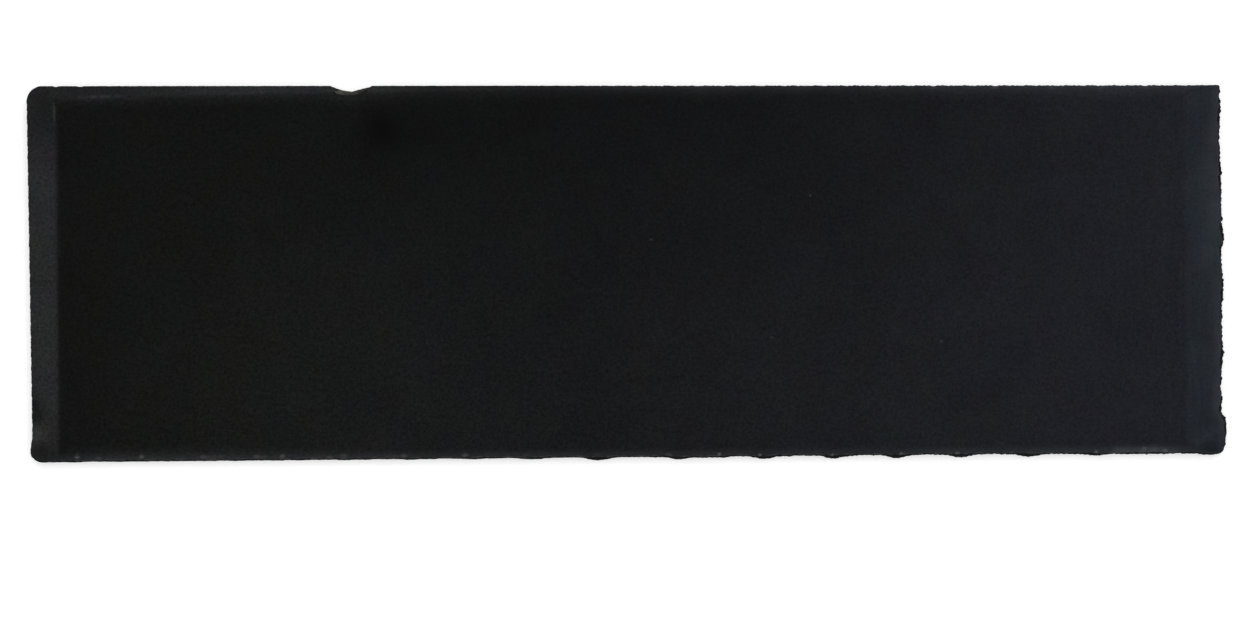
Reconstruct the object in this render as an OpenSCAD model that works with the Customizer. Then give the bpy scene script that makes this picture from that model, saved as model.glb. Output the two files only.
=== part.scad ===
// Slab of black slate, lying on its sawn underside with its honed face up.
// X runs along the slab, Y across it and Z through its thickness.
// The origin is at the middle of the slab's bounding box, on the underside.
// One long side and one end are sawn square. The other long side and end were broken by hand:
// there the stone steps out bed by bed towards the underside, as slate parts along its cleavage.

/* [Slab] */
// Length along the sawn long side
sawn_l = 2979; // [1800:1:3200]
// Width across the sawn end
sawn_end_w = 941; // [500:1:1200]
// Width across the broken end
broken_end_w = 919; // [500:1:1200]
// Thickness through the honed face
slab_t = 30; // [20:1:50]
// How far the sawn end runs out of square over the width
sawn_end_lean = 15; // [0:1:40]
// How far the broken end runs out of square over the width
broken_end_lean = 6; // [0:1:40]

/* [Honed face] */
// Height of the honed face above the sawn margin round it
hone_step = 1; // [0.5:0.1:3]
// Margin along the sawn end
margin_sawn_end = 69; // [40:1:120]
// Margin along the broken end
margin_broken_end = 74; // [40:1:120]
// Margin along the sawn long side, where it meets the sawn end
margin_sawn_side = 30; // [20:1:40]
// Distance from the sawn end over which that margin narrows
margin_taper_l = 1060; // [200:10:1600]
// Margin along the rest of the sawn long side
margin_sawn_side_far = 14; // [8:1:40]
// Margin along the broken long side
margin_broken_side = 14; // [10:1:40]

/* [Sawn edges] */
// Radius of the corner between the sawn end and the sawn long side
crown_r = 39; // [10:1:60]
// Radius of the corner between the sawn end and the broken long side
heel_r = 30; // [5:1:40]
// How far the sawn end flares out above that corner
flare_h = 5.5; // [0:0.5:12]
// Length of the flare
flare_l = 40; // [20:5:120]
// Distance of the notch in the sawn long side from the sawn end
notch_x = 812; // [300:2:1400]
// Width of the notch
notch_w = 104; // [40:2:160]
// Depth of the notch in the highest bed
notch_d = 22; // [8:1:30]
// Depth of the notch in the lowest bed
notch_low_d = 13; // [4:1:30]
// Number of nicks in the upper edge of the sawn long side
nick_n = 6; // [0:1:8]
// Distance of the first nick from the broken end
nick_first = 160; // [80:5:200]
// Distance between nicks
nick_pitch = 135; // [80:5:180]
// How far a nick strays from even spacing
nick_stray = 35; // [0:1:40]

/* [Broken edges] */
// Number of beds that show
bed_n = 5; // [2:1:7]
// How far the lowest bed of the broken end stands out from the highest
bed_run = 6; // [0:0.5:10]
// How far the lowest bed of the broken long side stands out from the highest, between the tongues
side_run = 4; // [0:0.5:8]
// Height of the ragged waves on the broken end
end_ragged_h = 3.5; // [0:0.5:6]
// Height of the ragged waves on the broken long side
side_ragged_h = 1; // [0:0.25:3]
// Length of the longest ragged wave
ragged_l = 150; // [120:5:400]
// How far the toe stands out at the foot of the broken end
toe_h = 10; // [0:1:20]
// Length of the toe
toe_l = 75; // [40:5:140]
// Length of the slope up to the toe
toe_slope_l = 40; // [20:5:100]
// Cut of the toe's corner
toe_cut = 9; // [4:1:20]

/* [Chisel points] */
// Distance between chisel points along the broken long side
chisel_pitch = 172.5; // [100:0.5:240]
// Distance of the first one from the sawn end
chisel_first = 68; // [60:1:160]
// How far a chisel point strays from even spacing
chisel_stray = 47; // [0:1:50]
// Width of the tongue of stone that stands out under a chisel point
tongue_w = 84; // [40:2:120]
// How far the tongues stand out where they are longest
tongue_h = 6.5; // [2:0.5:14]
// How far they stand out elsewhere
tongue_least = 1; // [0:0.5:2]
// Distance from the sawn end to the middle of the stretch with the longest tongues
tongue_x = 1960; // [900:5:2600]
// Length of that stretch
tongue_l = 1170; // [200:10:1500]
// Length on either side of it over which the tongues shorten
tongue_fade = 250; // [200:10:1200]

/* [Bruises] */
// Radius of the hollow that a blow bruises out of an upper edge
bruise_r = 15; // [10:1:30]
// Depth of that hollow
bruise_d = 2; // [0.5:0.25:4]

/* [Hidden] */
$fn = 48;
slate_black = [0.1, 0.105, 0.115];
// Spacing of the points along a broken edge, and the sweep between two points of an arc
edge_step = 12;
arc_step = 15;
// The ragged line's waves: share of the height, share of the longest wave, turn from bed to bed
ragged_waves = [[0.5, 1, -54], [0.3, 0.37, 95], [0.2, 0.16, 150]];
// The notch, steep towards the sawn end: share of its half width, of its depth in the highest bed
// and of its depth in the lowest bed
notch_shape = [[-1, 0, 0], [-0.72, 0.85, 0.42], [-0.45, 1, 0.74], [0, 1, 1], [0.25, 0.95, 0.7],
    [0.5, 0.66, 0.44], [1, 0, 0]];
// The waves that stray the points of a row from even spacing: share of the stray, turn from point to point
stray_waves = [[0.63, 35], [0.37, 72]];

// Thickness of the sawn body under the honed face, and of one of its beds
body_t = slab_t - hone_step;
bed_t = body_t / bed_n;
// Length of the broken long side, and the chisel points that fit on it
broken_l = sawn_l + broken_end_lean - sawn_end_lean;
chisel_n = floor((broken_l - 2 * chisel_first) / chisel_pitch) + 1;

// An ease from 0 to 1
function ease(t) = let (c = max(0, min(1, t))) c * c * (3 - 2 * c);
// How deep a bed lies: 0 for the highest, 1 for the lowest
function depth(bed) = 1 - bed / (bed_n - 1);
// How far a point of a row strays from even spacing, from -1 to 1
function stray(i) = let (waves = [for (w = stray_waves) w[0] * sin(w[1] * (i + 1))]) waves[0] + waves[1];
// A ragged line from -1 to 1
function ragged(s, bed) = let (
    waves = [for (w = ragged_waves) w[0] * sin(360 * s / (w[1] * ragged_l) + w[2] * (bed + 1))])
    waves[0] + waves[1] + waves[2];

// Place of a chisel point on the broken long side, and how far the tongues stand out at s
function chisel_at(i) = chisel_first + i * chisel_pitch + chisel_stray * stray(i);
function tongue(s) = let (
    h = max(tongue_least, tongue_h * ease(1 - (abs(s - tongue_x) - tongue_l / 2) / tongue_fade)),
    near = min([for (i = [0 : chisel_n - 1]) abs(s - chisel_at(i))]))
    h * ease(1 - 2 * near / tongue_w);

// A point of the broken long side, s from its sawn end, with the higher beds set back past the heel
function broken_side(s, bed) = [
    sawn_end_lean + s,
    -sawn_end_w + (sawn_end_w - broken_end_w) * s / broken_l
    + (1 - depth(bed)) * side_run * ease(s / heel_r - 1)
    - depth(bed) * tongue(s) - side_ragged_h * ragged(s, bed)];

// A point of the broken end, s from the sawn long side, with the toe at its foot
function broken_end(s, bed) = [
    sawn_l + broken_end_lean * s / broken_end_w
    + depth(bed) * bed_run + end_ragged_h * ragged(s, bed)
    + toe_h * ease((s - broken_end_w + toe_l + toe_slope_l) / toe_slope_l),
    -s];

// A point of the sawn end, s from the sawn long side, with the flare at its foot
function sawn_end(s) = [
    sawn_end_lean * s / sawn_end_w - flare_h * ease((s - sawn_end_w + heel_r + flare_l) / flare_l),
    -s];

// The notch in a bed
function notch(bed) = let (high = (1 - depth(bed)) * notch_d, low = depth(bed) * notch_low_d)
    [for (p = notch_shape) [notch_x + notch_w / 2 * p[0], -high * p[1] - low * p[2]]];

// The arc of a corner, clockwise
function arc(at, r, from, to) = [for (a = [from : -arc_step : to]) at + r * [cos(a), sin(a)]];

// Outline of a bed, clockwise from the sawn end, with the sawn long side on Y = 0
end_l = broken_end_w - toe_cut;
side_l = broken_l - toe_cut - heel_r;
end_steps = ceil(end_l / edge_step);
side_steps = ceil(side_l / edge_step);
flare_steps = ceil(flare_l / edge_step);
function outline(bed) = concat(
    arc(sawn_end(crown_r) + [crown_r, 0], crown_r, 180, 90),
    notch(bed),
    [for (i = [0 : end_steps]) broken_end(end_l * i / end_steps, bed)],
    [for (i = [0 : side_steps]) broken_side(heel_r + side_l * (1 - i / side_steps), bed)],
    arc(sawn_end(sawn_end_w - heel_r) + [heel_r, 0], heel_r, 270 - arc_step, 180),
    [for (i = [1 : flare_steps]) sawn_end(sawn_end_w - heel_r - flare_l * i / flare_steps)]);

// The honed face, inside its margins
honed = [
    sawn_end(margin_sawn_side) + [margin_sawn_end, 0],
    [margin_taper_l, -margin_sawn_side_far],
    [sawn_l - margin_broken_end, -margin_sawn_side_far],
    [sawn_l + broken_end_lean - margin_broken_end, -broken_end_w + margin_broken_side],
    [sawn_end_lean + margin_sawn_end, -sawn_end_w + margin_broken_side]];

// Middle of the slab's bounding box
points = [for (bed = [0 : bed_n - 1]) each outline(bed)];
xs = [for (p = points) p[0]];
ys = [for (p = points) p[1]];
middle = [(min(xs) + max(xs)) / 2, (min(ys) + max(ys)) / 2];

// The hollow of a blow on the body's upper edge, on the side that faces out along Y
module bruise(at, out) {
    off = (bruise_r - bruise_d) * sqrt(0.5);
    translate([at[0], at[1] + out * off, body_t + off]) sphere(bruise_r);
}

module slate_slab() {
    color(slate_black) translate([-middle[0], -middle[1], 0]) difference() {
        union() {
            for (bed = [0 : bed_n - 1])
                translate([0, 0, bed * bed_t]) linear_extrude(bed_t) polygon(outline(bed));
            translate([0, 0, body_t]) linear_extrude(hone_step) intersection() {
                polygon(honed);
                polygon(outline(bed_n - 1));
            }
        }
        for (i = [0 : chisel_n - 1])
            bruise(broken_side(chisel_at(i), bed_n - 1), -1);
        for (i = [0 : 1 : nick_n - 1])
            bruise([sawn_l - nick_first - i * nick_pitch - nick_stray * stray(3 * i), 0], 1);
    }
}

slate_slab();
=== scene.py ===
import math

import bpy
import numpy as np
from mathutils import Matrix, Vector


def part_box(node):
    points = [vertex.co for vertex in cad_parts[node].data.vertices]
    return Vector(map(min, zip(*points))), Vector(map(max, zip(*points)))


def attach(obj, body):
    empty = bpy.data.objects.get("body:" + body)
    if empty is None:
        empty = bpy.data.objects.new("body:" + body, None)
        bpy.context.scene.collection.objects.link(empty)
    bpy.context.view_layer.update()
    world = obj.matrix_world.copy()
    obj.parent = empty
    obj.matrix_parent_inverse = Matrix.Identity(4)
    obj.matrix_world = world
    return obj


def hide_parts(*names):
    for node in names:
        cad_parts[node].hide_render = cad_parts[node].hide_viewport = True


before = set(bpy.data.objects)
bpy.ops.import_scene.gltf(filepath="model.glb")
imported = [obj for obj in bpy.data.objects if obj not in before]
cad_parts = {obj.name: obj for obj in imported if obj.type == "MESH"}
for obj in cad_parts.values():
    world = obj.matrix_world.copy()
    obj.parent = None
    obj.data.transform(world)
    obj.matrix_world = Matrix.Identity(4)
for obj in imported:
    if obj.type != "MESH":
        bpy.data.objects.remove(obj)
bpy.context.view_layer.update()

# Sizes in millimetres, as the part's source has them. X and Y start at the corner between the sawn edges
SAWN_L, SAWN_END_W, BROKEN_END_W, SLAB_T = 2979.0, 941.0, 919.0, 30.0
SAWN_END_LEAN, BROKEN_END_LEAN = 15.0, 6.0
HONE_STEP = 1.0
MARGIN_SAWN_END, MARGIN_BROKEN_END, MARGIN_BROKEN_SIDE = 69.0, 74.0, 14.0
MARGIN_SAWN_SIDE, MARGIN_SAWN_SIDE_FAR, MARGIN_TAPER_L = 30.0, 14.0, 1060.0
CROWN_R, HEEL_R, FLARE_H, FLARE_L = 39.0, 30.0, 5.5, 40.0
NOTCH_X, NOTCH_W, NOTCH_D, NOTCH_LOW_D = 812.0, 104.0, 22.0, 13.0
NOTCH_SHAPE = (
    (-1.0, 0.0, 0.0), (-0.72, 0.85, 0.42), (-0.45, 1.0, 0.74), (0.0, 1.0, 1.0), (0.25, 0.95, 0.7),
    (0.5, 0.66, 0.44), (1.0, 0.0, 0.0))
NICK_N, NICK_FIRST, NICK_PITCH, NICK_STRAY = 6, 160.0, 135.0, 35.0
BED_N, BED_RUN, SIDE_RUN = 5, 6.0, 4.0
END_RAGGED_H, SIDE_RAGGED_H, RAGGED_L = 3.5, 1.0, 150.0
RAGGED_WAVES = ((0.5, 1.0, -54.0), (0.3, 0.37, 95.0), (0.2, 0.16, 150.0))
TOE_H, TOE_L, TOE_SLOPE_L, TOE_CUT = 10.0, 75.0, 40.0, 9.0
CHISEL_PITCH, CHISEL_FIRST, CHISEL_STRAY = 172.5, 68.0, 47.0
STRAY_WAVES = ((0.63, 35.0), (0.37, 72.0))
TONGUE_W, TONGUE_H, TONGUE_LEAST = 84.0, 6.5, 1.0
TONGUE_X, TONGUE_L, TONGUE_FADE = 1960.0, 1170.0, 250.0
BRUISE_R, BRUISE_D = 15.0, 2.0
BODY_T = SLAB_T - HONE_STEP
BED_T = BODY_T / BED_N
TOP_BED = BED_N - 1
BROKEN_L = SAWN_L + BROKEN_END_LEAN - SAWN_END_LEAN

# The skin's grid, close on broken stone and wider on sawn stone: spacing of columns along broken stone,
# degrees between the points of an arc, numbers of columns round the toe, along the flare and up the sawn
# end, distances of the end's columns from its two arcs, and stretches of the sawn side with their numbers
# of columns
EDGE_GRAIN, ARC_STEP, TOE_N, FLARE_N, UP_N, HEEL_GAP, CROWN_GAP = 2.5, 5.0, 6, 10, 190, 4.0, 8.0
SIDE_STRETCHES = (
    (45.0, 752.0, 190), (752.0, 872.0, 60), (872.0, 2040.0, 220), (2040.0, SAWN_L, 310))
# Rings of the honed face: how far inside its edge, and the share of the hone's step they lie below the face
HONED_RINGS = ((32.0, 0.0), (20.0, 0.0), (12.0, 0.0), (4.2, 0.45), (0.0, 1.0))
FOOT_RING = len(HONED_RINGS) - 1
# Rings of the margin: distance from the honed edge or from the arris, and its most as a share of the margin
MARGIN_RINGS_IN = ((5.0, 0.12), (11.0, 0.24))
MARGIN_RINGS_OUT = ((44.0, 0.71), (24.0, 0.62), (14.0, 0.5), (9.0, 0.4), (5.0, 0.28), (2.6, 0.16))
FACE_RINGS = len(HONED_RINGS) + len(MARGIN_RINGS_IN) + len(MARGIN_RINGS_OUT)
HONED_CORNER_R, NOTCH_MARGIN = 6.0, 4.0

# Finer forms of the edges. A wandering line's waves have their lengths and a turn that sets them out of step,
# and the line has a gain, because the waves seldom peak together
WANDER_GAIN = 1.6
# Flakes out of the broken end: places down it, and how far its line stands out there from the even waves
END_FLAKES = (
    (0.0, -5.0), (8.0, -0.5), (60.0, -1.0), (132.0, -3.8), (155.0, -1.8), (300.0, 1.2), (345.0, 2.0),
    (392.0, 6.0), (410.0, -1.3), (445.0, 0.0), (472.0, 3.8), (534.0, 2.4), (541.0, -0.5), (681.0, 1.5),
    (701.0, -1.4), (752.0, -2.8), (800.0, -1.5), (820.0, -6.5), (842.0, -1.4), (872.0, -1.4), (905.0, -5.5))
# Swells of the broken long side, where its line steps out or back in: start, length and height. The last is
# the toe's foot
SWELLS = ((1640.0, 30.0, 2.2), (1728.0, 25.0, -2.2), (2450.0, 300.0, 2.0), (2905.0, 25.0, 3.0))
# How much longer a tongue's far flank is than its near one, and the highest bed's share of a tongue
TONGUE_TAIL, TONGUE_TOP = 1.35, 0.45
# How far the curve of the toe's corner is pulled from the chord to the corner
TOE_PULL = 0.625
# Laminae in a bed, and how far the split between two lies from the bed's middle, as a share of the bed
LAMINAE_IN_BED, LAMINA_SPLIT = 2, 0.14
LAMINA_N = BED_N * LAMINAE_IN_BED
# Height of the flakes between laminae on the broken end and on the broken side's smooth half, and where the
# side grows as rough as the end
END_FLAKE, SIDE_FLAKE, SIDE_ROUGH_FROM, SIDE_ROUGH_OVER = 1.5, 0.45, 1200.0, 1000.0
# Flakes: steps in their height, their share and that of the fine wander, and each lamina's further turns
FLAKE_STEPS, FLAKE_SHARE, FINE_SHARE, FLAKE_TURN, FINE_TURN = 3.0, 0.7, 0.35, 0.7, 1.1
FLAKE_WAVES, FINE_WAVES = ((13.0, 29.0, 53.0, 97.0), 0.9), ((7.0, 11.0, 17.0), 2.1)
# Teeth: height on the end, share of it on the broken side, and from lamina to lamina drift, turn and loss
TEETH, SIDE_TEETH, TOOTH_DRIFT, TOOTH_TURN, TOOTH_SHRINK = 1.9, 0.3, 2.5, 1.3, 0.09
TOOTH_WAVES = ((8.0, 13.0, 23.0), 1.7)
# How far broken stone lies back from the solid's outline, and how far each lamina widens towards its foot
RIVEN_BACK, RIVEN_FLARE = 0.4, 0.25
# Chips in the sawn long side's upper edge: two near the sawn end, their size, and the depth at the nicks
CHIPS, CHIP_L, CHIP_D, NICK_CHIP_D = (74.0, 134.0), 11.0, 2.2, 0.8
# Nibbles out of a sawn arris: depth where it is crisp and where it is worn, share of them lost from lamina
# to lamina there, how worn the sawn end is, and where the sawn side grows worn
NIBBLE, NIBBLE_WORN, NIBBLE_LOSS, NIBBLE_LOSS_WORN = 0.3, 1.0, 0.35, 0.07
END_WORN, WORN_FROM, WORN_OVER = 0.65, 1150.0, 500.0
NIBBLE_WAVES = ((11.0, 17.0, 31.0, 53.0), 2.7)
# The arris: distance in from the outline, the most that is as a share of the margin, drops of its two rings
# below the margin, and what chipping adds to distance and drop
ARRIS_IN, ARRIS_SHARE, ARRIS_DROP, ARRIS_FALL, ARRIS_CHIP = 0.8, 0.14, 0.05, 0.6, 0.5
CHIP_WAVES = ((23.0, 41.0, 67.0, 9.0), 1.3)
# Gap between two laminae, and how far the underside's edge lies in from the lowest one
LAMINA_GAP, UNDER_IN = 0.1, 0.8
# Length over which broken stone in the notch turns to sawn stone beside it
NOTCH_FADE = 8.0
SHARP_ANGLE = 32.0

# Looks of the skin. The pale spot of a blow: its radius, how much further it runs down the edge, how hard a
# blow leaves a round spot, and how much longer a light blow's spot is
SPOT_R, SPOT_DOWN, HARD_BLOW, LIGHT_LONGER = 4.0, 1.1, 0.8, 2.0
# The spot of each chisel blow: how far beside the point and inside the edge it lies, and how hard it was
CHISEL_SPOTS = (
    (10.0, 10.0, 0.58), (-6.0, 10.0, 0.58), (-5.0, 7.0, 0.34), (-28.0, 7.0, 0.34), (16.0, 8.0, 0.24),
    (-5.0, 6.0, 0.33), (-6.0, 6.0, 0.38), (0.0, 6.0, 0.08), (0.0, 6.0, 0.08), (-28.0, 4.0, 0.25),
    (-6.0, 3.0, 0.75), (-4.0, 1.5, 0.8), (12.0, 3.0, 0.75), (-7.0, 3.0, 0.6), (0.0, 3.0, 0.15),
    (-6.0, 4.0, 0.8), (14.0, 6.0, 0.5))
# Blows between the chisel points: place, how far inside the edge and how hard
STRAY_SPOTS = (
    (164.0, 6.0, 0.22), (440.0, 7.0, 0.14), (455.0, 8.0, 0.14), (470.0, 8.0, 0.12), (575.0, 6.0, 0.16),
    (624.0, 7.5, 0.48), (742.0, 3.0, 0.3), (890.0, 5.0, 0.1), (905.0, 5.0, 0.14), (1715.0, 5.0, 0.78),
    (2776.0, 9.0, 0.5))
NICK_SPOT_IN, NICK_HARD = 6.0, 0.15
# Stretches along an edge: middle, length over which the look fades, and half its length before it fades.
# Two pale scrapes along the honed edge, with their strengths on the edge and one ring out
SCRAPE_SIDE, SCRAPE_END, SCRAPE, SCRAPE_OUT = (182.0, 82.0), (-66.0, 45.0), 0.2, 0.15
SCRAPE_LEVEL, SCRAPE_WANDER, SCRAPE_WAVES = 0.8, 0.4, ((19.0, 33.0), 0.8)
# The painted highlight along a broken arris, a pale line: distance from it and height, each with its fade,
# and its strengths
LINE_ARRIS, LINE_Z, LINE, LINE_WANDER, END_LINE = (0.0, 2.5, 1.0), (BODY_T - 0.5, 2.0), 0.25, 0.3, 0.3
LINE_WAVES = ((37.0, 83.0, 19.0), 0.4)
# How far the margin's tone starts outside the honed edge, and how far the honed tone reaches past that: on
# the sawn side, where that is worn and at the notch, on the broken side, and at most on the sawn end
TONE_BACK = 4.0
REACH_SAWN_SIDE, REACH_WORN, REACH_NOTCH, REACH_BROKEN_SIDE, REACH_SAWN_END = 1.0, 8.0, 10.0, 6.0, 6.6
NOTCH_REACH, END_REACH_FROM, END_REACH_OVER = (NOTCH_X, 32.5, 19.5), 55.0, 796.4
# Width of the step between the two tones
SOFT_SAWN_SIDE, SOFT_SCRAPED, SOFT_BROKEN_SIDE, SOFT_SAWN_END = 8.0, 12.0, 18.0, 14.0
SOFT_BROKEN_END, SOFT_WANDER = 26.0, 6.0
SCRAPED, SOFT_WAVES = (190.0, 100.0, 50.0), ((71.0, 113.0, 190.0), 0.6)
# Dust that thins out over the honed face: share of the margin's tone along the two long sides, width, and
# where it ends along the broken side
DUST_SAWN_SIDE, DUST_BROKEN_SIDE, DUST_W, DUST_TO, DUST_FADE = 0.28, 0.4, 36.0, 1100.0, 700.0
# Bruised stone by the arris: strengths, widths, a heavier band by the toe, a wider stretch of the end
BRUISED_WORN, BRUISED_END, BRUISED_SIDE, BRUISED_SIDE_W, BRUISED_END_W = 0.6, 0.7, 0.35, 24.0, 32.0
BAND, BAND_STRENGTH, BAND_WANDER, BAND_WAVES = (2788.0, 50.0, 50.0), 1.3, 0.5, ((31.0, 47.0, 83.0), 1.1)
WIDE, WIDE_W = (-330.0, 130.0, 130.0), 34.0
# Soft patches of the margin, paler or darker than the rest by this much: x, y, radius and strength. The dark
# patch at x 1440 by the sawn side is painted shadow
SLURRY_LEVEL = -0.1
MARGIN_SPOTS = (
    (33.0, -48.0, 48.0, -0.14), (13.0, -788.0, 18.0, -0.35), (18.0, -822.0, 24.0, -0.4),
    (25.0, -871.0, 24.0, 0.65), (33.0, -908.0, 26.0, -0.22), (33.0, -470.0, 330.0, 0.08),
    (33.0, -437.0, 40.0, 0.12), (33.0, -737.0, 45.0, 0.15), (130.0, -12.0, 150.0, -0.22),
    (370.0, -14.0, 80.0, -0.18), (560.0, -12.0, 260.0, 0.22), (1010.0, -10.0, 90.0, -0.24),
    (1440.0, -12.0, 230.0, -0.6), (1930.0, -8.0, 180.0, -0.55), (2690.0, -8.0, 110.0, 0.25),
    (90.0, -932.0, 70.0, -0.2), (1550.0, -930.0, 600.0, -0.3), (2945.0, -425.0, 65.0, 0.24),
    (2963.0, -863.0, 12.0, 0.3), (2946.0, -878.0, 12.0, 0.3), (2928.0, -892.0, 10.0, 0.4),
    (2958.0, -906.0, 20.0, -0.25))
# Painted light on the notch's broken wall, a patchy pale tone where its ledges lie in shadow: share left past
# the middle, place and width of that change, height at which it is gone and width of that fade, and the share
# lost from the foot to the top
NOTCH_LIGHT_FAR, NOTCH_LIGHT_X, NOTCH_LIGHT_W = 0.6, NOTCH_X + 20.0, 40.0
NOTCH_LIGHT_Z, NOTCH_LIGHT_FADE, NOTCH_LIGHT_TOP = BODY_T + 0.5, 1.5, 0.2

# Looks of the honed face, in metres in the shared frame. Soft ovals: middle, half lengths, and share of the
# tone at the middle and outside. In turn they are painted shade, deeper by the middle of the sawn side,
# painted sheen, paler by the heel, a wet spot by the notch and the damp round it
FACE_OVALS = (
    ((-0.13, 0.867), (1.83, 1.47), 0.3, 1.064), ((-0.755, -0.265), (0.79, 0.775), 1.306, 1.0),
    ((-0.613, 0.364), (0.085, 0.078), 0.14, 1.0), ((-0.543, 0.359), (0.26, 0.15), 0.64, 1.0))
# Pale specks: x, y and strength. Their tone is full up to one distance and gone at another
SPECKS = ((0.4565, 0.1955, 0.3), (0.0595, 0.0857, 0.3), (0.359, -0.159, 0.3), (0.7835, -0.169, 0.2))
SPECK_R, SPECK_FADE = 0.0015, 0.0045


def ease(t):
    """A smooth step from 0 to 1."""
    t = np.clip(t, 0.0, 1.0)
    return t * t * (3.0 - 2.0 * t)


def near(x, middle, fade, flat=0.0):
    """1 at a place and 0 away from it: 1 for so far on either side, then a smooth step down to 0."""
    return ease(1.0 - (np.abs(x - middle) - flat) / fade)


def depth(bed):
    """How deep a bed lies: 0 for the highest, 1 for the lowest."""
    return 1.0 - bed / TOP_BED


def stray(i):
    """How far the points of a hand-spaced row stray from even spacing, from -1 to 1: two sines."""
    return sum(share * np.sin(np.radians(turn * (i + 1))) for share, turn in STRAY_WAVES)


def ragged(s, bed):
    """The ragged line of a broken edge at s: three sines, shifted from bed to bed."""
    return sum(
        share * np.sin(np.radians(360.0 * s / (length * RAGGED_L) + turn * (bed + 1)))
        for share, length, turn in RAGGED_WAVES)


def wander(s, lengths, turn):
    """A line that wanders between about -1 and 1 along s: the mean of one sine for each length, each turned
    further, times a gain."""
    k = np.arange(1, len(lengths) + 1)[:, None]
    return WANDER_GAIN * np.sin(2.0 * np.pi * s / np.array(lengths)[:, None] + turn * k * k).mean(0)


CHISEL_I = np.arange(int((BROKEN_L - 2 * CHISEL_FIRST) // CHISEL_PITCH) + 1)
CHISEL_S = CHISEL_FIRST + CHISEL_PITCH * CHISEL_I + CHISEL_STRAY * stray(CHISEL_I)
NICK_I = np.arange(NICK_N)
NICK_S = SAWN_L - NICK_FIRST - NICK_PITCH * NICK_I - NICK_STRAY * stray(3 * NICK_I)


def tongue(s):
    """How far the tongues under the chisel points stand out at s: a bump at each point, with a longer far
    flank, highest along one stretch."""
    h = np.maximum(TONGUE_LEAST, TONGUE_H * near(s, TONGUE_X, TONGUE_FADE, TONGUE_L / 2))
    past = s[:, None] - CHISEL_S[None, :]
    apart = np.where(past > 0.0, past / TONGUE_TAIL, -past).min(1)
    return h * ease(1.0 - 2.0 * apart / TONGUE_W)


def broken_side(s, bed):
    """Points of the broken long side, s from its sawn end: a straight line, set back in the higher beds,
    with swells, tongues and ragged waves."""
    y = (SAWN_END_W - BROKEN_END_W) * s / BROKEN_L - SAWN_END_W
    y += (1.0 - depth(bed)) * SIDE_RUN * ease(s / HEEL_R - 1.0)
    y -= sum(h * ease((s - start) / length) for start, length, h in SWELLS)
    y -= (TONGUE_TOP + (1.0 - TONGUE_TOP) * depth(bed)) * tongue(s)
    return np.stack([SAWN_END_LEAN + s, y - SIDE_RAGGED_H * ragged(s, bed)], 1)


def broken_end(s, bed):
    """Points of the broken end, s from the sawn long side: a leaning line, ragged waves, flakes broken out
    and the toe at its foot."""
    x = SAWN_L + BROKEN_END_LEAN * s / BROKEN_END_W + depth(bed) * BED_RUN + END_RAGGED_H * ragged(s, bed)
    x += np.interp(s, *np.array(END_FLAKES).T)
    return np.stack([x + TOE_H * ease((s - BROKEN_END_W + TOE_L + TOE_SLOPE_L) / TOE_SLOPE_L), -s], 1)


def sawn_end(s):
    """Points of the sawn end, s from the sawn long side: a leaning line with the flare at its foot."""
    s = np.asarray(s, float)
    x = SAWN_END_LEAN * s / SAWN_END_W - FLARE_H * ease((s - SAWN_END_W + HEEL_R + FLARE_L) / FLARE_L)
    return np.stack([x, -s], -1)


def sawn_side(x, bed):
    """Points of the sawn long side at x: a straight line with the notch and the chips in it. The notch's
    line goes from its shape in the highest bed to that in the lowest."""
    across, high, low = np.array(NOTCH_SHAPE).T
    at = (x - NOTCH_X) / (NOTCH_W / 2)
    y = -(1.0 - depth(bed)) * NOTCH_D * np.interp(at, across, high)
    y -= depth(bed) * NOTCH_LOW_D * np.interp(at, across, low)
    for places, deep in ((np.array(CHIPS), CHIP_D), (NICK_S, NICK_CHIP_D)):
        y -= deep * ease(1.0 - np.abs(np.subtract.outer(x, places)).min(-1) / CHIP_L)
    return np.stack([x, y], -1)


def arc(at, r, start, stop):
    """Points of a corner's arc about at, between two angles in degrees."""
    a = np.radians(np.linspace(start, stop, int(abs(stop - start) / ARC_STEP) + 1))
    return at + r * np.stack([np.cos(a), np.sin(a)], 1)


# Columns on the sawn side, down the broken end, back along the broken side and up the sawn end
SIDE_X = np.concatenate([np.linspace(start, stop, n, endpoint=False) for start, stop, n in SIDE_STRETCHES])
END_S = np.linspace(0.0, BROKEN_END_W - TOE_CUT, int(BROKEN_END_W / EDGE_GRAIN))
SIDE_S = np.linspace(BROKEN_L - TOE_CUT, HEEL_R, int(BROKEN_L / EDGE_GRAIN))
FLARE_S = SAWN_END_W - HEEL_R - FLARE_L
UP_S = np.concatenate([
    np.linspace(SAWN_END_W - HEEL_R - HEEL_GAP, FLARE_S, FLARE_N, endpoint=False),
    np.linspace(FLARE_S, CROWN_R + CROWN_GAP, UP_N)])
TOE_T = np.linspace(0.0, 1.0, TOE_N + 2)[1:-1, None]


def outline_parts(bed):
    """Outline of a bed, clockwise from the sawn end: crown, sawn side, broken end, toe, broken side, heel,
    sawn end. The toe is a curve of the second order between the two edges' last points, pulled towards the
    corner."""
    end, side = broken_end(END_S, bed), broken_side(SIDE_S, bed)
    chord = 0.5 * (end[-1] + side[0])
    corner = chord + TOE_PULL * (np.array([end[-1, 0], side[0, 1]]) - chord)
    return (
        arc(sawn_end(CROWN_R) + [CROWN_R, 0.0], CROWN_R, 180.0, 90.0), sawn_side(SIDE_X, bed), end,
        (1 - TOE_T) ** 2 * end[-1] + 2 * TOE_T * (1 - TOE_T) * corner + TOE_T ** 2 * side[0], side,
        arc(sawn_end(SAWN_END_W - HEEL_R) + [HEEL_R, 0.0], HEEL_R, 265.0, 180.0), sawn_end(UP_S))


def along(points):
    """Length run along an outline up to each of its points."""
    step = np.linalg.norm(np.diff(points, axis=0), axis=1)
    return np.concatenate([[0.0], np.cumsum(step)])


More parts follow.
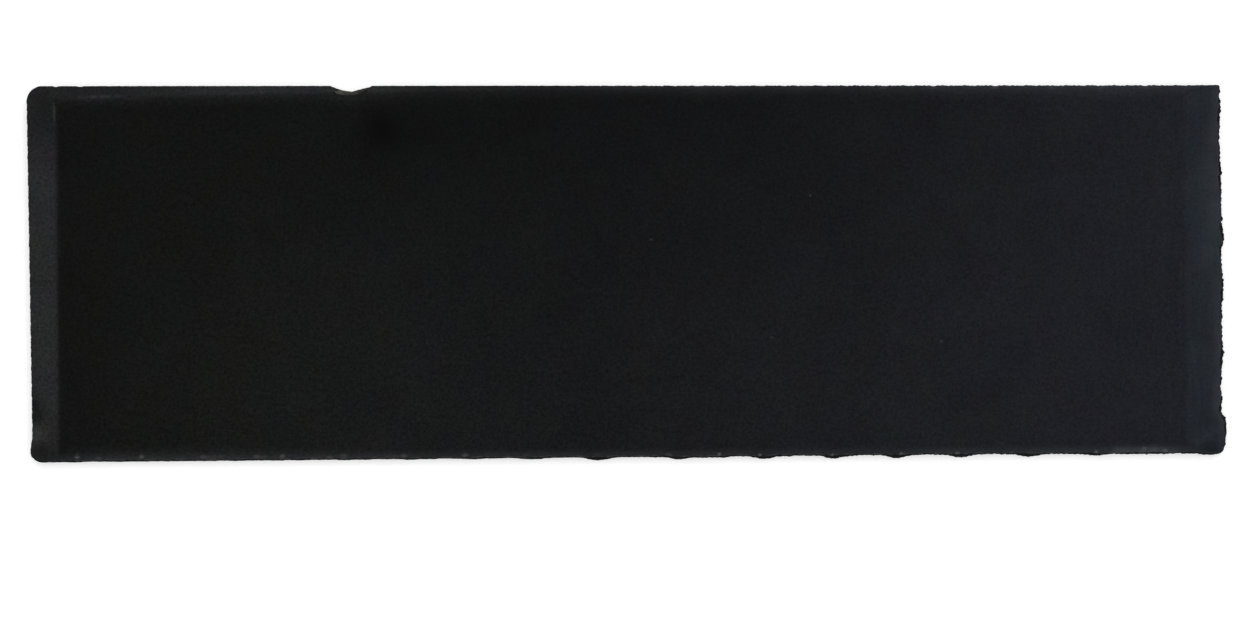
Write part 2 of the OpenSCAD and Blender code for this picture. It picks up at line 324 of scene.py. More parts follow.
def outward(points):
    """Unit normals of a closed clockwise outline, pointing out: the chord between a point's neighbours,
    turned left."""
    chord = np.roll(points, -1, 0) - np.roll(points, 1, 0)
    chord /= np.linalg.norm(chord, axis=1, keepdims=True)
    return np.stack([-chord[:, 1], chord[:, 0]], 1)


def honed_edge(points, inset):
    """The point of the honed face's edge nearest to each outline point: held inside a leaning five-sided
    field, which lies inset by so much more than its corner radius, then let out by that radius, which
    rounds the corners."""
    x0, x1 = sawn_end(MARGIN_SAWN_SIDE)[0] + MARGIN_SAWN_END, SAWN_L - MARGIN_BROKEN_END
    lean0, lean1 = SAWN_END_LEAN / SAWN_END_W, BROKEN_END_LEAN / BROKEN_END_W
    within = HONED_CORNER_R + inset
    x = np.clip(points[:, 0], x0, x1)
    share = (x - x0) / (x1 - x0)
    taper = np.clip((x - x0) / (MARGIN_TAPER_L - x0), 0.0, 1.0)
    top = -MARGIN_SAWN_SIDE + taper * (MARGIN_SAWN_SIDE - MARGIN_SAWN_SIDE_FAR)
    top = np.minimum(top, sawn_side(x, TOP_BED)[:, 1] - NOTCH_MARGIN) - within
    foot = MARGIN_BROKEN_SIDE - SAWN_END_W + share * (SAWN_END_W - BROKEN_END_W) + within
    y = np.clip(points[:, 1], foot, top)
    x = np.clip(points[:, 0], x0 - lean0 * y + within, x1 - lean1 * y - within)
    core = np.stack([x, y], 1)
    out = points - core
    return core + HONED_CORNER_R * out / np.linalg.norm(out, axis=1, keepdims=True)


# The columns at the highest bed: their points, the length run up to each, the way out, the honed edge
# beside each and the width of the margin between. The crown counts as sawn side, the toe as broken side,
# the heel as sawn end
TOP_PARTS = outline_parts(TOP_BED)
PART = np.repeat(np.arange(len(TOP_PARTS)), [len(part) for part in TOP_PARTS])
ON_SAWN_SIDE, ON_BROKEN_END = PART < 2, PART == 2
ON_BROKEN_SIDE, ON_SAWN_END = np.isin(PART, (3, 4)), PART > 4
TOP = np.concatenate(TOP_PARTS)
TOP_X, TOP_Y = TOP.T
RUN, OUT, FOOT = along(TOP), outward(TOP), honed_edge(TOP, 0.0)
MARGIN_W = np.linalg.norm(TOP - FOOT, axis=1)
# How broken, rough, chipped and worn each column is
IN_NOTCH = near(TOP_X, NOTCH_X, NOTCH_FADE, (NOTCH_W - NOTCH_FADE) / 2) * ON_SAWN_SIDE
RIVEN = np.maximum(ON_BROKEN_END | ON_BROKEN_SIDE, IN_NOTCH)
ROUGH = ease((TOP_X - SIDE_ROUGH_FROM) / SIDE_ROUGH_OVER)
FLAKY = RIVEN * np.where(ON_BROKEN_END, END_FLAKE, SIDE_FLAKE + (1.0 - SIDE_FLAKE) * ROUGH)
TOOTHED = TEETH * np.where(ON_BROKEN_END, 1.0, SIDE_TEETH * ON_BROKEN_SIDE * ROUGH)
CHIPPED = RIVEN * (1.0 + wander(RUN, *CHIP_WAVES)) ** 2
WORN_SIDE = ease((TOP_X - WORN_FROM) / WORN_OVER)
WORN = np.maximum(WORN_SIDE, END_WORN * ON_SAWN_END)
NIBBLED = (NIBBLE + (NIBBLE_WORN - NIBBLE) * WORN) * (1.0 - RIVEN) * (1.0 + wander(RUN, *NIBBLE_WAVES))


def lamina_line(j):
    """How far lamina j, counted from below, stands out from its bed's outline. Broken stone has flakes in
    steps, a fine wander, and teeth that drift and shrink from lamina to lamina. Sawn stone has the nibbles
    of the arris, which run out downwards."""
    flake_waves, flake_turn = FLAKE_WAVES
    fine_waves, fine_turn = FINE_WAVES
    flake = np.round(FLAKE_STEPS * wander(RUN, flake_waves, flake_turn + FLAKE_TURN * j)) / FLAKE_STEPS
    fine = wander(RUN, fine_waves, fine_turn + FINE_TURN * j)
    teeth = wander(RUN + TOOTH_DRIFT * math.sin(TOOTH_TURN * j), *TOOTH_WAVES)
    line = FLAKY * (FLAKE_SHARE * flake + FINE_SHARE * fine)
    line += TOOTHED * (1.0 - TOOTH_SHRINK * j) * teeth - RIVEN_BACK * RIVEN
    loss = NIBBLE_LOSS + (NIBBLE_LOSS_WORN - NIBBLE_LOSS) * WORN
    return line - NIBBLED * np.maximum(0.0, 1.0 - loss * (LAMINA_N - 1 - j))


def skin_rings():
    """The slab's closed skin before the blows: a profile of rings carried round the outline. From the top
    the rings are those of the honed face and its sloping edge, the margin, the arris, two for each lamina
    of the edge, and the underside."""
    arris_in = ARRIS_IN + ARRIS_CHIP * CHIPPED + NIBBLED
    rings = [(honed_edge(TOP, inset), SLAB_T - share * HONE_STEP) for inset, share in HONED_RINGS]
    for far, share in MARGIN_RINGS_IN:
        rings.append((FOOT + (TOP - FOOT) * np.minimum(far / MARGIN_W, share)[:, None], BODY_T))
    for far, share in MARGIN_RINGS_OUT:
        rings.append((TOP + (FOOT - TOP) * np.minimum(far / MARGIN_W, share)[:, None], BODY_T))
    arris = TOP + (FOOT - TOP) * np.minimum(arris_in / MARGIN_W, ARRIS_SHARE)[:, None]
    rings.append((arris, BODY_T - ARRIS_DROP))
    for j in reversed(range(LAMINA_N)):
        bed, upper = divmod(j, LAMINAE_IN_BED)
        split = 0.5 + LAMINA_SPLIT * (-1) ** bed
        low, high = (split, 1.0) if upper else (0.0, split)
        line = np.concatenate(outline_parts(bed)) + OUT * lamina_line(j)[:, None]
        drop = ARRIS_FALL + ARRIS_CHIP * CHIPPED if j == LAMINA_N - 1 else LAMINA_GAP
        rings.append((line, BED_T * (bed + high) - drop))
        rings.append((line + OUT * (RIVEN_FLARE * RIVEN)[:, None], BED_T * (bed + low) + LAMINA_GAP))
    rings.append((line - UNDER_IN * OUT, 0.0))
    return np.array([np.column_stack([points, np.broadcast_to(z, len(TOP))]) for points, z in rings])


def bruised_skin(skin):
    """The skin with the hollows of the blows: where a chisel or a knock hit the arris, points inside a
    sphere are pushed out to it."""
    chiselled = np.column_stack([broken_side(CHISEL_S, TOP_BED), np.full(len(CHISEL_S), -1.0)])
    nicked = np.column_stack([NICK_S, np.zeros(NICK_N), np.ones(NICK_N)])
    lift = (BRUISE_R - BRUISE_D) * math.sqrt(0.5)
    for x, y, way in np.concatenate([chiselled, nicked]):
        away = skin - np.array([x, y + way * lift, BODY_T + lift])
        far = np.linalg.norm(away, axis=2, keepdims=True)
        skin = np.where(far < BRUISE_R, skin + away * (BRUISE_R / far - 1.0), skin)
    return skin


def wear_and_highlight_look(skin, from_arris):
    """Pale crushed stone and a painted highlight, from 0 to 1: a spot where each blow hit, longer for a light
    blow, a wandering painted highlight along the broken arris, and two scrapes along the honed edge."""
    beside, inside, hard = np.array(CHISEL_SPOTS).T
    blows = np.concatenate([np.stack([CHISEL_S + beside, inside, hard], 1), STRAY_SPOTS])
    spots = np.column_stack([broken_side(blows[:, 0], TOP_BED), blows[:, 2]])
    spots[:, 1] += blows[:, 1]
    nick_spots = np.column_stack([NICK_S, np.full((NICK_N, 2), (-NICK_SPOT_IN, NICK_HARD))])
    wear_and_highlight = np.zeros(skin.shape[:2])
    for x, y, hard in np.concatenate([spots, nick_spots]):
        stretch = np.array([1.0 + LIGHT_LONGER * (HARD_BLOW - min(hard, HARD_BLOW)), 1.0, SPOT_DOWN])
        far = np.linalg.norm((skin - np.array([x, y, BODY_T])) / stretch, axis=2)
        wear_and_highlight = np.maximum(wear_and_highlight, hard * near(far, 0.0, SPOT_R, SPOT_R / 2))
    # Painted highlight: a pale line along the broken arris
    line = near(from_arris, *LINE_ARRIS) * near(skin[:, :, 2], *LINE_Z)
    line *= RIVEN * np.where(ON_SAWN_SIDE | ON_BROKEN_END, END_LINE, 1.0)
    wear_and_highlight = np.maximum(wear_and_highlight, line * (LINE + LINE_WANDER * wander(RUN, *LINE_WAVES)))
    side_scrape = ON_SAWN_SIDE * near(TOP_X, *SCRAPE_SIDE)
    side_scrape = side_scrape * (SCRAPE_LEVEL + SCRAPE_WANDER * wander(RUN, *SCRAPE_WAVES))
    end_scrape = ON_SAWN_END * near(TOP_Y, *SCRAPE_END)
    wear_and_highlight[FOOT_RING] = np.maximum(wear_and_highlight[FOOT_RING], SCRAPE * (side_scrape + end_scrape))
    wear_and_highlight[FOOT_RING + 1] = np.maximum(wear_and_highlight[FOOT_RING + 1], SCRAPE_OUT * side_scrape)
    return wear_and_highlight


def hone_look(inside):
    """From 1 for the face's honed tone to 0 for the margin's sawn tone: a soft step near the honed edge,
    less a share of dust that thins out over the face along the long sides."""
    down = np.clip((-TOP_Y - END_REACH_FROM) / END_REACH_OVER, 0.0, 1.0)
    reach = np.select([ON_SAWN_SIDE, ON_BROKEN_SIDE, ON_SAWN_END], [
        REACH_SAWN_SIDE + REACH_WORN * WORN_SIDE + REACH_NOTCH * near(TOP_X, *NOTCH_REACH),
        REACH_BROKEN_SIDE, REACH_SAWN_END * down], 0.0)
    soft = np.select([ON_SAWN_SIDE, ON_BROKEN_END, ON_BROKEN_SIDE], [
        SOFT_SAWN_SIDE + SOFT_SCRAPED * near(TOP_X, *SCRAPED),
        SOFT_BROKEN_END + SOFT_WANDER * wander(RUN, *SOFT_WAVES), SOFT_BROKEN_SIDE], SOFT_SAWN_END)
    dust = np.select([ON_SAWN_SIDE, ON_BROKEN_SIDE], [
        DUST_SAWN_SIDE, DUST_BROKEN_SIDE * ease((DUST_TO - TOP_X) / DUST_FADE)], 0.0)
    step = ease((inside + reach + TONE_BACK) / soft)
    return (1.0 - dust) * step + dust * ease((inside + TONE_BACK) / DUST_W)


def edge_look(from_arris):
    """Bruised stone, strongest at the arris of the broken edges and of the worn stretch of the sawn side,
    and fading over a width."""
    band = near(TOP_X, *BAND) * (BAND_STRENGTH + BAND_WANDER * wander(RUN, *BAND_WAVES))
    strength = np.select([ON_SAWN_SIDE, ON_BROKEN_END, ON_BROKEN_SIDE], [
        BRUISED_WORN * WORN_SIDE, BRUISED_END, BRUISED_SIDE + band], 0.0)
    end_width = BRUISED_END_W + WIDE_W * near(TOP_Y, *WIDE)
    width = np.where(ON_SAWN_SIDE | ON_BROKEN_SIDE, BRUISED_SIDE_W, end_width)
    return strength * ease(1.0 - from_arris / width)


def slurry_and_shadow_look(skin):
    """How much paler than usual the margin lies: a level and a sum of round soft patches, of saw slurry
    and one of painted shadow.
    """
    slurry = np.full(skin.shape[:2], SLURRY_LEVEL)
    for x, y, r, strength in MARGIN_SPOTS:
        slurry += strength * np.exp(-((skin[:, :, 0] - x) ** 2 + (skin[:, :, 1] - y) ** 2) / r ** 2)
    return slurry


def notch_light_look(skin):
    """Painted light on the notch's broken wall, where its ledges lie in shadow: a pale tone strongest at the
    foot and towards the sawn end, gone at the arris."""
    x, z = skin[:, :, 0], skin[:, :, 2]
    notch_light = IN_NOTCH * near(TOP_X, NOTCH_X, NOTCH_W / 6, NOTCH_W / 3)
    notch_light = notch_light * (NOTCH_LIGHT_FAR + (1.0 - NOTCH_LIGHT_FAR) * ease((NOTCH_LIGHT_X - x) / NOTCH_LIGHT_W))
    return notch_light * ease((NOTCH_LIGHT_Z - z) / NOTCH_LIGHT_FADE) * (1.0 - NOTCH_LIGHT_TOP * ease(z / BODY_T))


def skin_looks(skin):
    """The looks of each point of the skin, from its distances inside the honed edge and from the arris."""
    inside = -np.linalg.norm(skin[:, :, :2] - FOOT, axis=2)
    inside[:FOOT_RING] = np.array(HONED_RINGS)[:FOOT_RING, :1]
    from_arris = np.abs(MARGIN_W + inside)
    return {
        "wear_and_highlight": wear_and_highlight_look(skin, from_arris), "hone": hone_look(inside), "edge": edge_look(from_arris),
        "slurry": slurry_and_shadow_look(skin), "notch_light": notch_light_look(skin)}


def build_skin(name, face, sawn, riven):
    """Puts the skin into a mesh in the shared frame, in metres: quads between neighbouring rings and
    columns, and one flat face each for the honed top and the underside. The finish follows the ring: honed
    face and margin, then riven or sawn edge, and a sawn underside."""
    skin = bruised_skin(skin_rings())
    rows, n = skin.shape[:2]
    lo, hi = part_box("slate_slab")
    place = np.array([lo.x * 1000.0 - sawn_end(CROWN_R)[0], hi.y * 1000.0, 0.0])
    points = np.clip((skin + place) / 1000.0, np.array(lo), np.array(hi)).reshape(-1, 3)
    ring, column = np.meshgrid(np.arange(rows - 1), np.arange(n), indexing="ij")
    after = (column + 1) % n
    upper, lower = ring * n, (ring + 1) * n
    quads = np.stack([upper + column, upper + after, lower + after, lower + column], -1).reshape(-1, 4)
    top = np.arange(n)[::-1]
    under = (rows - 1) * n + np.arange(n)
    on_face, on_sawn, on_riven = range(3)
    broken = RIVEN > 0.5
    edge_finish = np.where(broken[column] & broken[after], on_riven, on_sawn)
    finish = np.where(ring < FACE_RINGS, on_face, edge_finish).reshape(-1)

    mesh = bpy.data.meshes.new(name)
    mesh.from_pydata(points, [], quads.tolist() + [top.tolist(), under.tolist()])
    finish = np.concatenate([finish, [on_face, on_sawn]])
    mesh.polygons.foreach_set("material_index", finish.astype(np.int32))
    mesh.polygons.foreach_set("use_smooth", np.arange(len(mesh.polygons)) < len(quads))
    for look, values in skin_looks(skin).items():
        layer = mesh.attributes.new(look, "FLOAT", "POINT")
        layer.data.foreach_set("value", values.reshape(-1).astype(np.float32))
    mesh.set_sharp_from_angle(angle=math.radians(SHARP_ANGLE))
    for material in (face, sawn, riven):
        mesh.materials.append(material)
    piece = bpy.data.objects.new(name, mesh)
    bpy.context.scene.collection.objects.link(piece)
    return piece


def linear(hex_colour):
    """An sRGB hex colour as linear red, green, blue and alpha."""
    c = np.array([int(hex_colour[i : i + 2], 16) for i in (1, 3, 5)]) / 255.0
    c = np.where(c <= 0.04045, c / 12.92, ((c + 0.055) / 1.055) ** 2.4)
    return (*c.tolist(), 1.0)


def per_metre(mm):
    """Scale of a pattern whose marks are so many millimetres across."""
    return 1000.0 / mm


def add(tree, kind, settings=None, inputs=None):
    """Adds a node of a kind with its settings. An input gets a value, or a link if it is given a socket."""
    node = tree.nodes.new("ShaderNode" + kind)
    for key, value in (settings or {}).items():
        setattr(node, key, value)
    for key, value in (inputs or {}).items():
        if isinstance(value, bpy.types.NodeSocket):
            tree.links.new(value, node.inputs[key])
        else:
            node.inputs[key].default_value = value
    return node


def new_material(name):
    """An empty material with its node tree and output."""
    material = bpy.data.materials.new(name)
    material.use_nodes = True
    material.node_tree.nodes.clear()
    return material, material.node_tree, add(material.node_tree, "OutputMaterial")


# Sockets of a Mix: 0 is the share, 2 and 3 are the two numbers, or 6 and 7 the two colours, and a mixed
# colour is output 2. Sockets of a MapRange: 1 and 2 are the range read, 3 and 4 the range given
RGBA = {"data_type": "RGBA"}
MULTIPLY = {"data_type": "RGBA", "blend_type": "MULTIPLY"}
SMOOTH = {"interpolation_type": "SMOOTHSTEP"}
WHITE = linear("#ffffff")
# Slate's sheen, low because the honed face is dry and dusty
SHEEN = 0.08
# Slate's grain is far too fine to show, so all three finishes draw it coarser: millimetres across
FACE_GRAIN, SAWN_GRAIN, RIVEN_GRAIN = 7.0, 6.0, 5.0
# Other patterns, in millimetres across: clouds of slurry and of the face, mottled tint and patches of the
# painted light in the notch. Streaks of the beds have a length, and how much thinner they are. Lines across
# the margin are as wide as the grain and so much longer
SLURRY_CLOUD, FACE_CLOUD, MOTTLE, NOTCH_LIGHT_PATCH = 140.0, 260.0, 75.0, 16.0
BED_STREAK, STREAK_THINNER, LINE_LONGER = 60.0, 30.0, 12.5
# Range that a noise mostly covers
LOW, HIGH = 0.3, 0.7
# Where changes towards the broken end start, in metres along the slab: the margin's painted blue reflection,
# the face's painted sheen, its painted blue reflection and weaker grain, and lines across the margin. All are
# full by the last place
MARGIN_PAINTED_REFLECTION_X, PAINTED_SHEEN_X, PAINTED_REFLECTION_X, LINES_X, FULL_X = 0.3, -1.4, -1.0, 1.1, 1.3
# What the painted blue reflection makes of red, green and blue
PAINTED_BLUE_REFLECTION = (0.94, 0.96, 1.42, 1.0)
# Floor: distances over which its lift to white grows, in metres, and the lift at both
LIFT_NEAR, LIFT_FAR, LIFT_LEAST, LIFT_MOST = 2.0, 9.0, 0.4, 0.8
# World light, by the sine of the angle above the floor: where the ring starts and ends and where the glow by
# the floor ends, each from one angle to another, and the levels outside the ring, in it and of the glow
RING_START, RING_END, GLOW_END = (0.2, 0.5), (0.75, 0.95), (0.02, 0.1)
DIM, BRIGHT, GLOW = 0.15, 1.3, 0.9


def along_slab(t, at, start):
    """Socket that goes from 0, up to a place along the slab, to 1 near the broken end."""
    x = add(t, "SeparateXYZ", None, {0: at}).outputs["X"]
    return add(t, "MapRange", None, {"Value": x, 1: start, 2: FULL_X}).outputs[0]


def oval(t, at, middle, size, inside, outside):
    """Socket that goes smoothly from one value at the middle of an oval to another at its edge."""
    shrink = (1.0 / size[0], 1.0 / size[1], 0.0)
    away = add(t, "VectorMath", {"operation": "SUBTRACT"}, {0: at, 1: (*middle, 0.0)})
    away = add(t, "VectorMath", {"operation": "MULTIPLY"}, {0: away.outputs[0], 1: shrink})
    far = add(t, "VectorMath", {"operation": "LENGTH"}, {0: away.outputs[0]})
    return add(t, "MapRange", SMOOTH, {"Value": far.outputs["Value"], 3: inside, 4: outside}).outputs[0]


def sawn_tone(t, at):
    """Colour of sawn slate: chalky grey, in cloudy patches of saw slurry and one of painted shadow, with a
    painted blue reflection towards the broken end.
    """
    cloud = add(t, "TexNoise", None, {"Vector": at, "Scale": per_metre(SLURRY_CLOUD), "Detail": 4.0})
    pale = add(t, "MapRange", None, {"Value": cloud.outputs["Fac"], 1: LOW, 2: HIGH, 3: 0.35, 4: 0.65})
    # Saw slurry, and a patch of painted shadow by the sawn side
    slurry = add(t, "Attribute", {"attribute_name": "slurry"}).outputs["Fac"]
    pale = add(t, "Math", {"operation": "ADD", "use_clamp": True}, {0: pale.outputs[0], 1: slurry})
    # Painted blue reflection on the margin, growing towards the broken end
    margin_painted_reflection = along_slab(t, at, MARGIN_PAINTED_REFLECTION_X)
    dark = add(t, "Mix", RGBA, {0: margin_painted_reflection, 6: linear("#131415"), 7: linear("#111519")})
    light = add(t, "Mix", RGBA, {0: margin_painted_reflection, 6: linear("#2d2e2f"), 7: linear("#292e35")})
    return add(t, "Mix", RGBA, {0: pale.outputs[0], 6: dark.outputs[2], 7: light.outputs[2]}).outputs[2]


def honed_tone(t, at, cloud):
    """Colour of honed slate: near-black, with a painted sheen and a painted blue reflection towards the
    broken end, in soft clouds and ovals, two of them painted shade and painted sheen, with a few pale specks."""
    # Painted sheen and painted blue reflection on the face, growing towards the broken end
    tone = add(t, "Mix", RGBA, {0: along_slab(t, at, PAINTED_SHEEN_X), 6: linear("#0a0b0a"), 7: linear("#191a19")})
    painted_reflection = add(t, "Mix", RGBA, {0: along_slab(t, at, PAINTED_REFLECTION_X), 6: WHITE, 7: PAINTED_BLUE_REFLECTION})
    tone = add(t, "Mix", MULTIPLY, {0: 1.0, 6: tone.outputs[2], 7: painted_reflection.outputs[2]})
    cloudy = add(t, "MapRange", None, {"Value": cloud.outputs["Fac"], 1: LOW, 2: HIGH, 3: 0.94, 4: 1.06})
    # The ovals: painted shade by the sawn side, painted sheen by the heel, and a wet spot with its damp
    for share in (*(oval(t, at, *shape) for shape in FACE_OVALS), cloudy.outputs[0]):
        tone = add(t, "Mix", MULTIPLY, {0: 1.0, 6: tone.outputs[2], 7: share})
    for x, y, strength in SPECKS:
        far = add(t, "VectorMath", {"operation": "DISTANCE"}, {0: at, 1: (x, y, SLAB_T / 1000.0)})
        speck = add(t, "MapRange", None, {
            "Value": far.outputs["Value"], 1: SPECK_R, 2: SPECK_FADE, 3: strength, 4: 0.0})
        tone = add(t, "Mix", RGBA, {0: speck.outputs[0], 6: tone.outputs[2], 7: linear("#4c4c48")})
    return tone.outputs[2]


def face_slate():
    """Slate face, honed with a sawn margin. Honed: near-black with a fine grain and a low sheen, and with
    painted
    sheen, reflection and shade. Margin: matt grey saw slurry with a patch of painted shadow, mottled, drawn
    out in faint lines across the slab by the broken end, with a painted blue reflection there, and paler
    towards a broken arris, with a painted highlight along it."""
    material, t, out = new_material("honed_slate_face")
    at = add(t, "TexCoord").outputs["Object"]
    cloud = add(t, "TexNoise", None, {"Vector": at, "Scale": per_metre(FACE_CLOUD), "Detail": 3.0})
    tint = add(t, "TexNoise", None, {"Vector": at, "Scale": per_metre(MOTTLE), "Detail": 3.0})
    grain = add(t, "TexNoise", None, {
        "Vector": at, "Scale": per_metre(FACE_GRAIN), "Detail": 3.0, "Roughness": 0.75})
    lines = add(t, "Mapping", None, {"Vector": at, "Scale": (1.0, 1.0 / LINE_LONGER, 1.0)})
    lines = add(t, "TexNoise", None, {
        "Vector": lines.outputs[0], "Scale": per_metre(FACE_GRAIN), "Detail": 2.0})
    hone, edge, wear_and_highlight = (
        add(t, "Attribute", {"attribute_name": look}).outputs["Fac"] for look in ("hone", "edge", "wear_and_highlight"))
    tone = add(t, "Mix", RGBA, {0: hone, 6: sawn_tone(t, at), 7: honed_tone(t, at, cloud)})
    # Mottled tint over all of it
    mottle = add(t, "VectorMath", {"operation": "SCALE"}, {0: tint.outputs["Color"], "Scale": 2.0})
    mottle = add(t, "Mix", RGBA, {0: 0.22, 6: WHITE, 7: mottle.outputs[0]})
    tone = add(t, "Mix", MULTIPLY, {0: 1.0, 6: tone.outputs[2], 7: mottle.outputs[2]})
    # Grain, stronger on the honed face and weaker towards the broken end
    speckle = add(t, "MapRange", None, {"Value": grain.outputs["Fac"], 1: LOW, 2: HIGH, 3: 0.36, 4: 1.64})
    strength = add(t, "MapRange", None, {"Value": hone, 3: 0.75, 4: 1.0})
    fade = add(t, "MapRange", None, {"Value": along_slab(t, at, PAINTED_REFLECTION_X), 3: 1.0, 4: 0.6})
    strength = add(t, "Math", {"operation": "MULTIPLY"}, {0: strength.outputs[0], 1: fade.outputs[0]})
    tone = add(t, "Mix", MULTIPLY, {0: strength.outputs[0], 6: tone.outputs[2], 7: speckle.outputs[0]})
    lines = add(t, "MapRange", None, {"Value": lines.outputs["Fac"], 1: LOW, 2: HIGH, 3: 0.92, 4: 1.08})
    by_end = along_slab(t, at, LINES_X)
    tone = add(t, "Mix", MULTIPLY, {0: by_end, 6: tone.outputs[2], 7: lines.outputs[0]})
    # Bruised and crushed stone, pale, and the painted highlight along a broken arris
    pale = add(t, "MapRange", None, {"Value": tint.outputs["Fac"], 1: LOW, 2: HIGH, 3: 0.25, 4: 0.6})
    pale = add(t, "Math", {"operation": "MULTIPLY"}, {0: pale.outputs[0], 1: edge})
    tone = add(t, "Mix", RGBA, {0: pale.outputs[0], 6: tone.outputs[2], 7: linear("#3a3c41")})
    tone = add(t, "Mix", RGBA, {0: wear_and_highlight, 6: tone.outputs[2], 7: linear("#505050")})
    polish = add(t, "MapRange", None, {"Value": cloud.outputs["Fac"], 1: LOW, 2: HIGH, 3: 0.4, 4: 0.46})
    rough = add(t, "Mix", None, {0: hone, 2: 0.8, 3: polish.outputs[0]})
    bump = add(t, "Bump", None, {"Height": grain.outputs["Fac"], "Distance": 0.0002, "Strength": 0.25})
    shade = add(t, "BsdfPrincipled", None, {
        "Base Color": tone.outputs[2], "Roughness": rough.outputs[0], "Normal": bump.outputs[0],
        "Specular IOR Level": SHEEN})
    t.links.new(shade.outputs[0], out.inputs[0])
    return material


def sawn_slate():
    """Slate, sawn and not honed: the matt grey of the margin, on the sawn edges and the underside."""
    material, t, out = new_material("sawn_slate")
    at = add(t, "TexCoord").outputs["Object"]
    grain = add(t, "TexNoise", None, {
        "Vector": at, "Scale": per_metre(SAWN_GRAIN), "Detail": 3.0, "Roughness": 0.7})
    wear_and_highlight = add(t, "Attribute", {"attribute_name": "wear_and_highlight"}).outputs["Fac"]
    speckle = add(t, "MapRange", None, {"Value": grain.outputs["Fac"], 1: LOW, 2: HIGH, 3: 0.8, 4: 1.2})
    tone = add(t, "Mix", MULTIPLY, {0: 1.0, 6: sawn_tone(t, at), 7: speckle.outputs[0]})
    tone = add(t, "Mix", RGBA, {0: wear_and_highlight, 6: tone.outputs[2], 7: linear("#5c5c5a")})
    bump = add(t, "Bump", None, {"Height": grain.outputs["Fac"], "Distance": 0.0004, "Strength": 0.4})
    shade = add(t, "BsdfPrincipled", None, {
        "Base Color": tone.outputs[2], "Roughness": 0.8, "Normal": bump.outputs[0],
        "Specular IOR Level": SHEEN})
    t.links.new(shade.outputs[0], out.inputs[0])
    return material


def riven_slate():
    """Slate, broken by hand: thin beds in lighter and darker greys along the edge, pale where a blow
    bruised it, a painted highlight along the broken arris, and patchy painted light on the notch's shaded
    wall."""
    material, t, out = new_material("riven_slate")
    at = add(t, "TexCoord").outputs["Object"]
    beds = add(t, "Mapping", None, {"Vector": at, "Scale": (1.0, 1.0, STREAK_THINNER)})
    layer = add(t, "TexNoise", None, {
        "Vector": beds.outputs[0], "Scale": per_metre(BED_STREAK), "Detail": 4.0})
    grain = add(t, "TexNoise", None, {
        "Vector": at, "Scale": per_metre(RIVEN_GRAIN), "Detail": 3.0, "Roughness": 0.7})
    notch_light, wear_and_highlight = (
        add(t, "Attribute", {"attribute_name": look}).outputs["Fac"] for look in ("notch_light", "wear_and_highlight"))
    tone = add(t, "Mix", RGBA, {0: layer.outputs["Fac"], 6: linear("#0d0e0e"), 7: linear("#202122")})
    # Patchy painted light on the notch's broken wall, where it lies in shadow
    patchy = add(t, "TexNoise", None, {"Vector": at, "Scale": per_metre(NOTCH_LIGHT_PATCH), "Detail": 2.0})
    patchy = add(t, "MapRange", None, {"Value": patchy.outputs["Fac"], 1: 0.35, 2: 0.6, 3: 0.1, 4: 1.0})
    patchy_light = add(t, "Math", {"operation": "MULTIPLY"}, {0: notch_light, 1: patchy.outputs[0]})
    tone = add(t, "Mix", RGBA, {0: patchy_light.outputs[0], 6: tone.outputs[2], 7: linear("#595a52")})
    tone = add(t, "Mix", RGBA, {0: wear_and_highlight, 6: tone.outputs[2], 7: linear("#505050")})
    height = add(t, "Math", {"operation": "ADD"}, {0: layer.outputs["Fac"], 1: grain.outputs["Fac"]})
    bump = add(t, "Bump", None, {"Height": height.outputs[0], "Distance": 0.001, "Strength": 0.6})
    shade = add(t, "BsdfPrincipled", None, {
        "Base Color": tone.outputs[2], "Roughness": 0.75, "Normal": bump.outputs[0],
        "Specular IOR Level": SHEEN})
    t.links.new(shade.outputs[0], out.inputs[0])
    return material


def white_floor():
    """Matt white floor that takes the slab's shadow. Where it is seen it is lifted to white, more further
    off."""
    material, t, out = new_material("white_floor")
    path = add(t, "LightPath")
    seen = path.outputs["Is Camera Ray"]
    for ray in ("Is Glossy Ray", "Is Transmission Ray"):
        seen = add(t, "Math", {"operation": "MAXIMUM"}, {0: seen, 1: path.outputs[ray]}).outputs[0]
    at = add(t, "TexCoord").outputs["Object"]
    far = add(t, "VectorMath", {"operation": "LENGTH"}, {0: at})
    lift = add(t, "MapRange", None, {
        "Value": far.outputs["Value"], 1: LIFT_NEAR, 2: LIFT_FAR, 3: LIFT_LEAST, 4: LIFT_MOST})
    lift = add(t, "Math", {"operation": "MULTIPLY"}, {0: lift.outputs[0], 1: seen})
    matt = add(t, "BsdfDiffuse", None, {"Color": linear("#e7e7e7")})
    glow = add(t, "Emission", None, {"Color": WHITE, "Strength": lift.outputs[0]})
    both = add(t, "AddShader", None, {0: matt.outputs[0], 1: glow.outputs[0]})
    t.links.new(both.outputs[0], out.inputs[0])
    return material


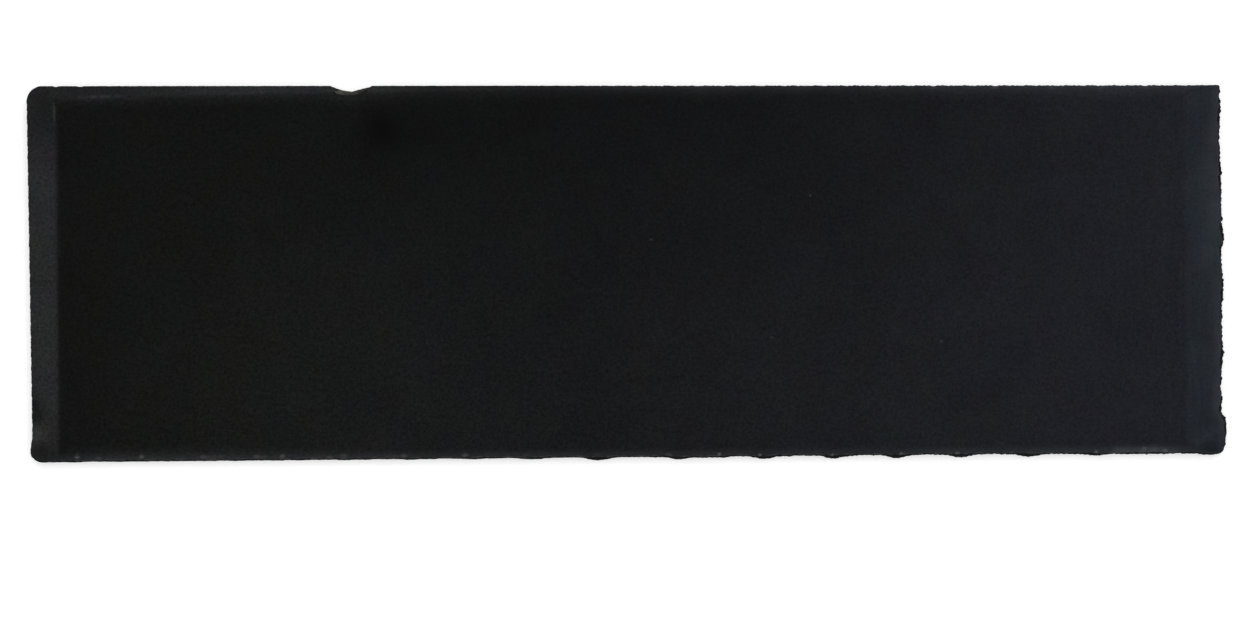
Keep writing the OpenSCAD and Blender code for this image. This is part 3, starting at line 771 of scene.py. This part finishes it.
def studio_light():
    """World light: a ring of soft light half way up the studio, dim overhead, so that the honed face stays
    dark from every side, and a glow down by the floor."""
    world = bpy.data.worlds.new("studio")
    world.use_nodes = True
    t = world.node_tree
    t.nodes.clear()
    up = add(t, "SeparateXYZ", None, {0: add(t, "TexCoord").outputs["Generated"]}).outputs["Z"]
    rise = add(t, "MapRange", SMOOTH, {"Value": up, 1: RING_START[0], 2: RING_START[1]})
    fall = add(t, "MapRange", SMOOTH, {"Value": up, 1: RING_END[0], 2: RING_END[1], 3: 1.0, 4: 0.0})
    ring = add(t, "Math", {"operation": "MULTIPLY"}, {0: rise.outputs[0], 1: fall.outputs[0]})
    level = add(t, "MapRange", None, {"Value": ring.outputs[0], 3: DIM, 4: BRIGHT})
    low = add(t, "MapRange", SMOOTH, {"Value": up, 1: GLOW_END[0], 2: GLOW_END[1], 3: 1.0, 4: 0.0})
    level = add(t, "Mix", None, {0: low.outputs[0], 2: level.outputs[0], 3: GLOW})
    glow = add(t, "Background", None, {"Color": WHITE, "Strength": level.outputs[0]})
    t.links.new(glow.outputs[0], add(t, "OutputWorld").inputs[0])
    return world


slab = build_skin("slate_slab_skin", face_slate(), sawn_slate(), riven_slate())
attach(slab, "root")
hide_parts("slate_slab")

# Floor, half a millimetre under the slab, in metres
FLOOR, FLOOR_Z = 60.0, -0.0005
floor_mesh = bpy.data.meshes.new("floor")
floor_mesh.from_pydata(
    [(x * FLOOR, y * FLOOR, FLOOR_Z) for x, y in ((-1, -1), (1, -1), (1, 1), (-1, 1))], [], [(0, 1, 2, 3)])
floor_mesh.materials.append(white_floor())
floor = bpy.data.objects.new("floor", floor_mesh)
bpy.context.scene.collection.objects.link(floor)

scene = bpy.context.scene
scene.view_settings.view_transform = "Standard"
scene.world = studio_light()

# One soft key lamp, high over the heel, that models the broken edges: place, strength, and spread in degrees
KEY_X, KEY_Y, KEY_Z, KEY_STRENGTH, KEY_SPREAD = -1.5, -2.5, 3.0, 0.78, 60.0
key_data = bpy.data.lights.new("key", "SUN")
key_data.color = WHITE[:3]
key_data.energy = KEY_STRENGTH
key_data.angle = math.radians(KEY_SPREAD)
key = bpy.data.objects.new("key", key_data)
key.location = (KEY_X, KEY_Y, KEY_Z)
key.rotation_euler = (math.atan2(math.hypot(KEY_X, KEY_Y), KEY_Z), 0.0, math.atan2(-KEY_X, KEY_Y))
scene.collection.objects.link(key)

# Camera straight over the slab, in metres. Its lens makes a pixel of the image so many mm of the face
IMAGE_W, PIXEL = 1249.0, 2.4963
SENSOR_W = 36.0
CAMERA_X, CAMERA_Y, CAMERA_H, CAMERA_ROLL = -0.0077, -0.1039, 8.0, -0.06
camera_data = bpy.data.cameras.new("camera")
camera_data.sensor_width = SENSOR_W
camera_data.lens = SENSOR_W * (CAMERA_H - SLAB_T / 1000.0) / (IMAGE_W * PIXEL / 1000.0)
camera = bpy.data.objects.new("camera", camera_data)
camera.location = (CAMERA_X, CAMERA_Y, CAMERA_H)
camera.rotation_euler = (0.0, 0.0, math.radians(CAMERA_ROLL))
scene.collection.objects.link(camera)
scene.camera = camera

bpy.context.view_layer.update()
